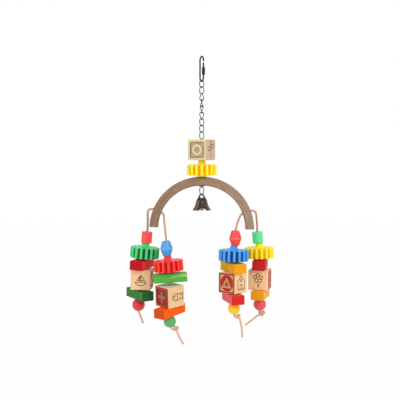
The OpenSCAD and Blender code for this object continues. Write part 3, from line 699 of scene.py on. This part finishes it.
for number, (block_name, (matrix, *paints, woods, sign, size)) in enumerate(BLOCKS.items()):
    painted_edge_shade = 0.6 if block_name == "top_block" else 0.0
    coat(block_name, block_wood(block_name + "_wood", matrix, *paints, woods, 0.05 * number, painted_edge_shade))
    stamp(block_name + "_front_print", sign, matrix, 0, block_name + "_body", size)
    behind = "boat" if sign == "sprig" else "sprig"
    stamp(block_name + "_back_print", behind, matrix, 180, block_name + "_body")

# --- Toothed wheels ---
# Moulded plastic wheels with sixteen rounded teeth, a hub above and a low boss below. The
# plastic shows its colour on the teeth and is painted darker into the grooves as painted shade.
TEETH, GEAR_R, VALLEY_R = 16, 21.2, 15.7
HUB_R, BOSS_R = 5.35, 7.3
LACE_BORE_R, ROD_BORE_R = 3.2, 1.8
WHEEL_STEPS = 448
# Height of a tooth from the middle of its tip (0) to the middle of the groove (1)
TOOTH_FORM = [(0, 1), (0.24, 0.985), (0.37, 0.93), (0.46, 0.80), (0.53, 0.52), (0.58, 0.22), (0.64, 0.04),
              (0.74, 0), (1, 0)]

turned_tree, given = geometry_tree("turned_piece", ["Valley Radius"], ["Steps", "Teeth"])
rows = made(turned_tree, "GeometryNodeAttributeDomainSize", {"Geometry": given["Geometry"]}, "Point Count",
            component="MESH")
grid = made(turned_tree, "GeometryNodeMeshGrid", {
    "Size X": 1.0, "Size Y": 1.0, "Vertices X": given["Steps"] + 1, "Vertices Y": rows})
index = made(turned_tree, "GeometryNodeInputIndex")
sampled = made(turned_tree, "GeometryNodeSampleIndex", {
    "Geometry": given["Geometry"], "Value": made(turned_tree, "GeometryNodeInputPosition"),
    "Index": index % rows}, data_type="FLOAT_VECTOR", domain="POINT")
reach, _, height = parts(sampled)
share = ((index + 0.01) / rows).floor() / given["Steps"]
off_tooth = abs((share * given["Teeth"] + 0.5).fraction() - 0.5) * 2
tooth = add(turned_tree, "ShaderNodeFloatCurve", {"Value": off_tooth})
curve = tooth.mapping.curves[0]
curve.points[0].location, curve.points[1].location = TOOTH_FORM[0], TOOTH_FORM[-1]
for point in TOOTH_FORM[1:-1]:
    curve.points.new(*point)
tooth.mapping.update()
beyond = (reach - given["Valley Radius"]).larger(0)
radius = reach - beyond * (1 - Output(tooth.outputs[0]))
angle = share * math.tau
close_tree(given, made(turned_tree, "GeometryNodeSetPosition", {
    "Geometry": grid, "Position": joined(radius * angle.cosine(), radius * angle.sine(), height)}))


def rounded(corners):
    """A closed profile, in metres, from (radius, height, rounding) corners in millimetres."""
    points = []
    for i, (r, z, ease) in enumerate(corners):
        here = Vector((r, z))
        if not ease:
            points.append(here)
            continue
        sides = [Vector(corners[j % len(corners)][:2]) - here for j in (i - 1, i + 1)]
        start, end = (here + side.normalized() * ease for side in sides)
        guard = [here + side.normalized() * min(ease + 0.35, side.length * 0.45) for side in sides]
        turned = [start * (1 - t) ** 2 + here * 2 * t * (1 - t) + end * t**2 for t in (0, 0.25, 0.5, 0.75, 1)]
        points += [guard[0], *turned, guard[1]]
    return [(p.x * MM, 0, p.y * MM) for p in points + points[:1]]


def turn_up(name, corners, matrix, material, steps=64, teeth=0, valley=1.0, closed=True):
    """A turned piece from its profile corners, in place."""
    points = rounded(corners) if closed else [(r * MM, 0, z * MM) for r, z in corners]
    return grow(name, turned_tree, points, [], matrix, material, Steps=steps, Teeth=teeth,
                Valley_Radius=valley)


def moulded(name, matrix, tip, painted_groove_shade, inner, outer, middle=0.0, painted_highlight_belt=None):
    """Coloured plastic, painted darker towards the grooves as painted shade, with a painted highlight on a
    belt.
    """
    material, tree, shader = finish(name, 0.4, Specular_IOR_Level=0.25, Coat_Weight=0.1, Coat_Roughness=0.3)
    where = local_place(tree, matrix)
    x, y, z = parts(where)
    reach = made(tree, "ShaderNodeVectorMath", {0: joined(x, y)}, "Value", operation="LENGTH")
    on_end = abs(z - middle * MM) > (GEAR_RIM_H / 2 - 0.5) * MM
    on_hub = reach < (inner - 0.8) * MM
    # Painted shade: the colour darkens from the tips in towards the grooves and the bore; rim ends and hub
    # keep the tip colour
    share = spread(reach, inner * MM, outer * MM).larger(on_end.larger(on_hub))
    part_way = [(g * 2 + t) / 3 for g, t in zip(painted_groove_shade, tip)]
    tone = ramp(share, [(0.0, painted_groove_shade), (0.3, part_way), (0.8, tip)])
    tone = blend(speckle(where, 260) * 0.12, tone, shade(tip, 0.8))
    if painted_highlight_belt:
        # Painted highlight: a pale ring where the bicone's belt catches light
        tone = blend((reach > (painted_highlight_belt - 0.12) * MM) * 0.1, tone, srgb(255, 232, 224))
    feed(shader, "Base Color", tone)
    relief(shader, speckle(where, 2600, 2), 0.01 * MM, 0.1)
    return material


def wheel_profile(bore):
    """Corners round a wheel's section: bore, hub, web, rim, boss."""
    top = GEAR_H / 2
    rim_top, rim_foot = top - GEAR_HUB_H, top - GEAR_HUB_H - GEAR_RIM_H
    return [(bore, -top, 0.3), (bore, top, 0.5), (HUB_R, top, 0.7), (HUB_R, rim_top, 0.5),
            (VALLEY_R, rim_top, 0), (GEAR_R, rim_top, 1.1), (GEAR_R, rim_foot, 1.1), (VALLEY_R, rim_foot, 0),
            (BOSS_R, rim_foot, 0.3), (BOSS_R, -top, 0.4)]


TOP_GEAR_TOP = -145.25
WHEEL_MIDDLE = (GEAR_BOSS_H - GEAR_HUB_H) / 2
# The wheel on the rod and those on the strands, with the plastic on the teeth and the painted shade in the
# grooves
WHEELS = [
    ("top_gear", "yellow_plastic", srgb(255, 234, 34), srgb(255, 186, 12)),
    ("left_outer_gear", "mint_plastic", srgb(74, 216, 126), srgb(0, 70, 26)),
    ("left_inner_gear", "red_plastic", srgb(252, 60, 50), srgb(206, 4, 4)),
    ("right_inner_gear", "blue_plastic", srgb(72, 160, 238), srgb(12, 44, 118)),
    ("right_outer_gear", "yellow_plastic", srgb(255, 236, 36), srgb(255, 194, 14)),
]
wheel_places = [on_axis((TOP_GEAR_TOP - GEAR_H / 2) * MM)] + [piece_matrix(k, 1) for k in range(4)]
for (wheel_name, finish_slot, tip, painted_groove_shade), matrix in zip(WHEELS, wheel_places):
    bore = ROD_BORE_R if wheel_name == "top_gear" else LACE_BORE_R
    plastic = moulded(wheel_name + "_plastic", matrix, tip, painted_groove_shade, VALLEY_R, GEAR_R, WHEEL_MIDDLE)
    wheel = turn_up(wheel_name + "_moulding", wheel_profile(bore), matrix, plastic, WHEEL_STEPS, TEETH,
                    VALLEY_R * MM)
    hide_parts(wheel_name)
    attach(wheel, wheel_name + "_body")

# --- Arch ---
# Half ring of steam-bent wood, weathered to a grey brown, with its edges rounded over. The
# grain runs round the bend.
ARCH_MID_R, LIT_FROM, LIT_TO = 68.75 * MM, -75 * MM, 75 * MM
weathered, tree, shader = finish("arch_weathered_wood", 0.72)
x, y, z = parts(made(tree, "ShaderNodeVectorMath", {0: own_spot(tree), 1: (0, 0, ARCH_Z * MM)},
                     operation="SUBTRACT"))
bent = joined(z.angle(x) * ARCH_MID_R, y, (x * x + z * z).root())
streaks = speckle(bent, 1, 6, 0.7, stretch=(70, 1300, 1300))
bands = speckle(bent, 1, 4, 0.6, stretch=(25, 380, 380))
pores = speckle(bent, 1, 3, 0.8, stretch=(420, 3200, 3200))
shaded_left_tone = ramp(streaks, [(0.3, srgb(92, 64, 46)), (0.5, srgb(136, 104, 80)), (0.72, srgb(170, 138, 110))])
lit_right_tone = ramp(streaks, [(0.3, srgb(112, 86, 64)), (0.5, srgb(158, 131, 106)),
                            (0.72, srgb(194, 169, 142))])
# Painted light: the arch is coloured darker at its left end and lighter at its right, from LIT_FROM to LIT_TO
tone = blend(spread(x, LIT_FROM, LIT_TO), shaded_left_tone, lit_right_tone)
tone = blend(bands * 0.3, tone, srgb(148, 114, 86))
tone = blend(spread(pores, 0.40, 0.30) * 0.5, tone, srgb(96, 72, 52))
feed(shader, "Base Color", tone)
relief(shader, streaks, 0.25 * MM, 0.6)
coat("arch", weathered)

# --- Bell and clapper ---
# Small cast bell with a dark patina, worn to bronze on its ribs. The lip is arched at
# front and back. A brass clapper hangs from a staple inside.
BELL_TOP_Z, BELL_H, BELL_R, BELL_WALL = -199.8, 16.4, 13.5, 1.2
BELL_TURN = math.radians(6)
BELL_STEPS, STAPLE_SIDES = 144, 12
BELL_LOOP_R, BELL_LOOP_WIRE = 3.2, 1.8
LIP_RISE, LIP_HALF, LIP_FROM = 3.9, 5.2, 0.35
BELL_FORM = [(0.02, 0.46), (0.05, 0.51), (0.12, 0.555), (0.24, 0.605), (0.37, 0.65), (0.5, 0.697),
             (0.6, 0.735), (0.69, 0.778), (0.79, 0.84), (0.885, 0.907), (0.95, 0.96), (1, 1)]
RIB_AT, RIB_HALF, RIB_PROUD = 48, 11, 0.035
bell_place = on_axis(BELL_TOP_Z * MM, BELL_TURN)
outside = [(0, 0), (BELL_R * 0.4, 0)] + [(BELL_R * r, -BELL_H * t) for t, r in BELL_FORM]
inside = [(BELL_R * r - BELL_WALL, -BELL_WALL - t * (BELL_H - BELL_WALL)) for t, r in reversed(BELL_FORM)]
lip = [(BELL_R - BELL_WALL * 0.5, -BELL_H - 0.1)]

patina, tree, shader = finish("bell_patina", 0.45, 0.7)
where = local_place(tree, bell_place)
x, y, z = parts(where)
mottle = speckle(where, 420, 5, 0.65)
around = abs(x).angle(abs(y)) * (180 / math.pi)
rib = (1.25 - abs(around - RIB_AT) * (1 / RIB_HALF)).clamped()
worn = (rib * (z < -1.4 * MM) * (mottle + 0.3)).clamped()
tone = ramp(mottle, [(0.35, srgb(34, 30, 27)), (0.55, srgb(60, 54, 50)), (0.68, srgb(136, 128, 120))])
feed(shader, "Base Color", blend(worn, tone, srgb(146, 110, 84)))
relief(shader, speckle(where, 900, 3, 0.6) + mottle, 0.35 * MM, 0.7)

bell = turn_up("bell_casting", outside + lip + inside + [(0, -BELL_WALL)], bell_place, patina,
               BELL_STEPS, closed=False)
to_bell = bell_place.inverted()
for vertex in bell.data.vertices:
    local = to_bell @ vertex.co
    drop = -local.z / (BELL_H * MM)
    rise = LIP_RISE * MM * max(0.0, 1 - (local.x / (LIP_HALF * MM)) ** 4)
    local.z += rise * max(0.0, (drop - LIP_FROM) / (1 - LIP_FROM)) ** 2
    around = math.degrees(math.atan2(abs(local.x), abs(local.y)))
    below_crown = min(1, max(0.0, drop * 8 - 0.6))
    rib = max(0.0, 1 - (abs(around - RIB_AT) / RIB_HALF) ** 2) * below_crown
    inward = 1 - RIB_PROUD * (1 - rib) * below_crown * max(0.0, 1 - max(0.0, drop - 0.8) / 0.2)
    local.x, local.y = local.x * inward, local.y * inward
    vertex.co = bell_place @ local
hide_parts("bell")
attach(bell, "bell_body")


def wire_ring(radius):
    """Points and edges of a round ring, its radius in millimetres."""
    return twisted_oval(radius * MM, radius * MM, 0, 48)


loop = grow("bell_loop", wire_tree, *wire_ring(BELL_LOOP_R), bell_place @ on_axis(BELL_LOOP_R * MM),
            patina, Wire=BELL_LOOP_WIRE * MM, Sides=WIRE_SIDES)

# The cast lug round the loop, from the hole out to the edge and back
LUG_FOOT, LUG_THICK, LUG_EASE, LUG_STEPS = BELL_R * 0.455, 1.6, 0.3, 56
lug_r, loop_rise = BELL_LOOP_R + BELL_LOOP_WIRE / 2, BELL_LOOP_R + BELL_WALL / 2
slope = math.acos(lug_r / math.hypot(LUG_FOOT, loop_rise)) - math.atan2(loop_rise, LUG_FOOT)
web, rings = bmesh.new(), []
for k in range(LUG_STEPS):
    a = math.tau * k / LUG_STEPS
    x, z = math.cos(a), math.sin(a)
    far = lug_r
    if math.atan2(z, abs(x)) <= slope:
        far = lug_r / max(1e-6, abs(x) * math.cos(slope) + z * math.sin(slope))
    if z < 0:
        far = min(far, loop_rise / -z)
    rim = [(BELL_LOOP_R, LUG_THICK), (far - LUG_EASE, LUG_THICK), (far, LUG_THICK - LUG_EASE)]
    rings.append([web.verts.new((r * x * MM, half * side * MM / 2, (BELL_LOOP_R + r * z) * MM))
                  for side in (-1, 1) for r, half in (rim if side < 0 else rim[::-1])])
for here, there in zip(rings, rings[1:] + rings[:1]):
    for j in range(len(here)):
        n = (j + 1) % len(here)
        web.faces.new((here[j], here[n], there[n], there[j])).smooth = True
lug = linked("bell_lug", ended(web, bpy.data.meshes.new("bell_lug")))
lug.data.transform(bell_place)
lug.data.materials.append(patina)

STAPLE_R, CLAPPER_WIRE = 1.9, 1.2
staple_z = BELL_TOP_Z - BELL_WALL - 1
staple = grow("bell_staple", wire_tree, *wire_ring(STAPLE_R), on_axis(staple_z * MM, BELL_TURN),
              patina, Wire=CLAPPER_WIRE * MM, Sides=STAPLE_SIDES)
for piece in (loop, lug, staple):
    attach(piece, "bell_body")

brass, tree, shader = finish("clapper_brass", 0.4, 0.35)
spot = own_spot(tree)
tarnish = speckle(spot, 600, 4)
tone = ramp(tarnish, [(0.3, srgb(156, 126, 80)), (0.6, srgb(206, 172, 118))])
# Painted shade: the clapper is painted dark brown from just above the lip's height downwards
painted_low_shade = spread(parts(spot)[2], (BELL_TOP_Z - BELL_H + 1.6) * MM, (BELL_TOP_Z - BELL_H) * MM)
feed(shader, "Base Color", blend(painted_low_shade, tone, srgb(96, 78, 56)))
feed(shader, "Roughness", tarnish * 0.3 + 0.15)
CLAPPER_R, CLAPPER_STEM_R, BELOW_LIP = 4.1, 0.6, 0.8
clapper_eye_z = staple_z - STAPLE_R + CLAPPER_WIRE + 0.15 - STAPLE_R
clapper_z = BELL_TOP_Z - BELL_H + CLAPPER_R - BELOW_LIP
stem_top = clapper_eye_z - STAPLE_R - clapper_z
angles = [math.radians(a) for a in range(-90, 80, 10)]
ball_form = [(CLAPPER_R * math.cos(a), CLAPPER_R * math.sin(a)) for a in angles]
stem = [(CLAPPER_STEM_R, CLAPPER_R * 0.985), (CLAPPER_STEM_R, stem_top), (0, stem_top)]
striker = turn_up("clapper_striker", ball_form + stem, on_axis(clapper_z * MM), brass, 40, closed=False)
eye_place = on_axis(clapper_eye_z * MM, BELL_TURN + math.pi / 2)
eye = grow("clapper_eye", wire_tree, *wire_ring(STAPLE_R), eye_place, brass, Wire=CLAPPER_WIRE * MM,
           Sides=STAPLE_SIDES)
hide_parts("clapper")
for piece in (striker, eye):
    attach(piece, "clapper_body")

# --- Beads ---
# Glossy moulded beads at the head of each strand: straight ones outside, bicones inside. They
# hang loose on the lace.
BEAD_R, BICONE_R, BICONE_END_R = 7.65, 8.75, 5.5
straight_end, bicone_end = BEAD_H / 2, BICONE_H / 2
straight_bead = [(LACE_BORE_R, -straight_end, 0.4), (LACE_BORE_R, straight_end, 0.4),
                 (BEAD_R, straight_end, 0.9), (BEAD_R, -straight_end, 0.9)]
bicone_bead = [(LACE_BORE_R, -bicone_end, 0.4), (LACE_BORE_R, bicone_end, 0.4),
               (BICONE_END_R, bicone_end, 0.5), (BICONE_R, 0.5, 0.15), (BICONE_R, -0.5, 0.15),
               (BICONE_END_R, -bicone_end, 0.5)]
BEADS = [("red_plastic", srgb(255, 82, 78)), ("blue_plastic", srgb(76, 158, 226)),
         ("red_plastic", srgb(255, 72, 66)), ("mint_plastic", srgb(98, 234, 154))]
for strand, (finish_slot, colour) in enumerate(BEADS):
    bead_name = STRANDS[strand] + "_bead"
    matrix = piece_matrix(strand, 0)
    # Beads carry painted shade towards the bore, and bicones also a painted highlight on the belt
    form, painted_highlight_belt = (bicone_bead, BICONE_R) if BICONE[strand] else (straight_bead, None)
    plastic = moulded(bead_name + "_plastic", matrix, colour, shade(colour, 0.8), 3, 8, painted_highlight_belt=painted_highlight_belt)
    bead = turn_up(bead_name + "_moulding", form, matrix, plastic, 72)
    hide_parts(bead_name)
    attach(bead, bead_name + "_body")

# --- Slats ---
# Sawn softwood bars with slightly rounded edges, dyed right through the surface, so that the grain
# still shows.


def dyed_wood(name, matrix, colour, end_colour, streak_tone=None, figure=1.0, end_at=1.0, roughness=0.55,
              seed=0.0):
    """Dyed wood with its grain along the piece, and end grain that took the dye deeper."""
    material, tree, shader = finish(name, roughness, Specular_IOR_Level=0.08 if end_at < 1 else 0.3)
    where = local_place(tree, matrix)
    drift = other_grain(where, seed)
    streaks = speckle(drift, 1, 5, 0.65, stretch=(80, 1000, 1000))
    broad = speckle(drift, 1, 3, 0.5, stretch=(30, 180, 180))
    fleck = speckle(drift, 1400, 3, 0.7)
    light = [min(1.0, c * (1 + 0.22 * figure) + 0.01 * figure) for c in colour[:3]]
    tone = ramp(streaks, [(0.28, shade(colour, 1 - 0.26 * figure)), (0.48, colour), (0.75, light)])
    tone = blend(broad * 0.5, tone, colour)
    if streak_tone:
        tone = blend(spread(broad, 0.5, 0.66) * 0.75, tone, streak_tone)
    open_grain = blend(fleck * 0.5, end_colour, shade(end_colour, 0.7))
    feed(shader, "Base Color", blend(abs(parts(where)[0]) > end_at - 0.5 * MM, tone, open_grain))
    relief(shader, streaks + fleck * 0.4, 0.12 * MM * figure, 0.5)
    return material


# Each strand's upper and lower slat: the colours of the long sides, the end grain and pale streaks
SLATS = [
    (srgb(246, 36, 40), srgb(184, 20, 26)), (srgb(56, 124, 58), srgb(42, 104, 50)),
    (srgb(78, 170, 66), srgb(60, 146, 52), srgb(196, 218, 124)), (srgb(254, 100, 14), srgb(222, 78, 18)),
    (srgb(230, 164, 16), srgb(248, 166, 6)), (srgb(228, 100, 102), srgb(224, 40, 42)),
    (srgb(212, 36, 36), srgb(206, 34, 34)), (srgb(246, 184, 80), srgb(236, 164, 20)),
]
for number, colours in enumerate(SLATS):
    strand, row = divmod(number, 2)
    slat_name = f"{STRANDS[strand]}_{('upper', 'lower')[row]}_slat"
    coat(slat_name, dyed_wood(slat_name + "_wood", piece_matrix(strand, 2 + 2 * row), *colours,
                              end_at=SLAT_L / 2 * MM, seed=0.07 * number))

# --- Balls ---
# Turned wooden balls with a thin gloss dye. Each carries its strand, and rests on the knot
# under it.
BALLS = [("red_wood", srgb(226, 56, 64)), ("light_green_wood", srgb(94, 176, 112)),
         ("yellow_wood", srgb(255, 208, 40)), ("coral_wood", srgb(236, 84, 94))]
for strand, (finish_slot, colour) in enumerate(BALLS):
    ball_name, radius, matrix = STRANDS[strand] + "_ball", BALL_R[strand], piece_matrix(strand, 5)
    start = math.degrees(math.asin((LACE_BORE_R + 0.5) / radius))
    angles = [math.radians(start + (180 - 2 * start) * k / 32) for k in range(33)]
    mouth = (LACE_BORE_R, radius * math.cos(math.radians(start)) - 0.5)
    form = [mouth] + [(radius * math.sin(a), radius * math.cos(a)) for a in angles]
    form += [(LACE_BORE_R, -mouth[1]), mouth]
    dyed = dyed_wood(ball_name + "_wood", matrix, colour, colour, figure=0.25, roughness=0.42,
                     seed=0.3 + 0.1 * strand)
    ball = turn_up(ball_name + "_turned", form, matrix, dyed, 64, closed=False)
    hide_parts(ball_name)
    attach(ball, ball_name + "_body")

# --- Floor, light ---
# White studio floor well below the hanging toy, two large soft lamps and an even white room,
# none of them part of the toy.
FLOOR_Z, FLOOR_HALF, WHITE_SHARE = -1.15, 9, 0.985
ROOM_LIGHT = 0.7
floor_mesh = bpy.data.meshes.new("studio_floor")
corners = [(x * FLOOR_HALF, y * FLOOR_HALF, FLOOR_Z) for x, y in ((-1, -1), (1, -1), (1, 1), (-1, 1))]
floor_mesh.from_pydata(corners, [], [(0, 1, 2, 3)])
floor = linked("studio_floor", floor_mesh)


def seen_straight(tree):
    """1 for a ray that shows the background itself, and 0 for one that lights the object."""
    path = add(tree, "ShaderNodeLightPath").outputs
    by_camera, in_metal, in_glass = (
        Output(path[ray]) for ray in ("Is Camera Ray", "Is Glossy Ray", "Is Transmission Ray"))
    return by_camera.larger(in_metal.larger(in_glass))


pale, tree, shader = finish("studio_white", 0.9, Base_Color=(0.92, 0.92, 0.92, 1))
glow = made(tree, "ShaderNodeEmission", {"Color": (1, 1, 1, 1), "Strength": 1.0})
lit = made(tree, "ShaderNodeMixShader", {
    0: seen_straight(tree) * WHITE_SHARE, 1: Output(shader.outputs[0]), 2: glow})
feed(tree.nodes["Material Output"], "Surface", lit)
floor_mesh.materials.append(pale)

world = bpy.data.worlds.new("white_room")
scene.world = world
world.use_nodes = True
background = world.node_tree.nodes["Background"]
background.inputs["Color"].default_value = (1, 1, 1, 1)
feed(background, "Strength", seen_straight(world.node_tree) * (1 - ROOM_LIGHT) + ROOM_LIGHT)

# Large square lamps: place, side and watts
LAMPS = {"key_lamp": ((0.9, -1.5, 0.7), 0.8, 14), "fill_lamp": ((-1.3, -1.1, 0.2), 1.0, 7)}
LAMP_AIM = Vector((0, 0, -0.25))
for lamp_name, (where, side, watts) in LAMPS.items():
    light = bpy.data.lights.new(lamp_name, "AREA")
    light.size, light.energy = side, watts
    lamp = linked(lamp_name, light)
    lamp.location = where
    lamp.rotation_euler = (LAMP_AIM - Vector(where)).to_track_quat("-Z", "Y").to_euler()

scene.view_settings.view_transform = "Standard"
